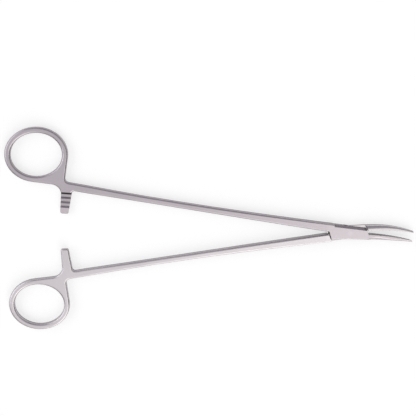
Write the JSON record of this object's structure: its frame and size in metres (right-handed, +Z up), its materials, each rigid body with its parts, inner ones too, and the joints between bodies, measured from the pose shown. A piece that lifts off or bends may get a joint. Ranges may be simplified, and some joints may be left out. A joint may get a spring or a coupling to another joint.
{
  "type": "artery forceps",
  "caption": "Slender locking artery forceps with a box lock, finger rings, a ratchet between the shanks and curved, cross-serrated jaws, resting slightly open.",
  "frame": {"origin": "on the pivot axis, in the plane of the box's underside", "axes": "+X from the finger rings towards the jaw tips, midway between the two halves; +Y across the halves, towards the finger ring of the half that carries the box; +Z up through the thickness, along the pivot"},
  "size_m": [0.1982, 0.0986, 0.0046],
  "materials": {
    "female_steel": "satin, blasted matt with fine lengthwise brushing on the box",
    "male_steel": "satin, blasted matt",
    "pin_steel": "ground flush with the box"
  },
  "bodies": {
    "box_side": {"female_half": "female_steel", "pivot_pin": "pin_steel"},
    "tongue_side": {"male_half": "male_steel"}
  },
  "joints": [
    {"name": "box_lock", "type": "hinge", "parent": "box_side", "child": "tongue_side", "pos_m": [0, 0, 0.0023], "axis": [0, 0, 1], "range_deg": [-7, 35]}
  ]
}
